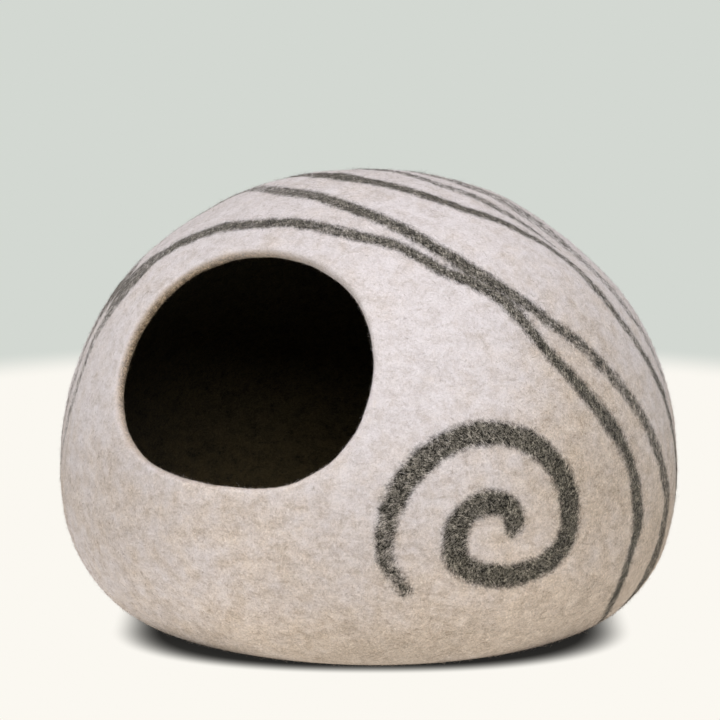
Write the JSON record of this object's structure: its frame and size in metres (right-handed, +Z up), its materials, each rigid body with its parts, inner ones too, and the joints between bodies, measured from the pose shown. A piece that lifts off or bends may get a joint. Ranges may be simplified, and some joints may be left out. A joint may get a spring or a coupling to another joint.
{
  "type": "felt cat cave",
  "caption": "Round hollow cat cave of thick felted wool, flat underneath, with a wide rounded mouth in its sloping front and dark bands felted into the light outside.",
  "frame": {"origin": "on the floor at the middle of the cave's plan", "axes": "+Z up; the mouth faces -Y and leans up; +X to the right of someone who looks into the mouth"},
  "size_m": [0.4998, 0.4859, 0.3465],
  "materials": {
    "light_wool": "matte felted wool, heathered light beige-grey",
    "dark_wool": "matte felted wool, brown-black"
  },
  "bodies": {
    "root": {"felt_shell": "light_wool"}
  },
  "joints": []
}
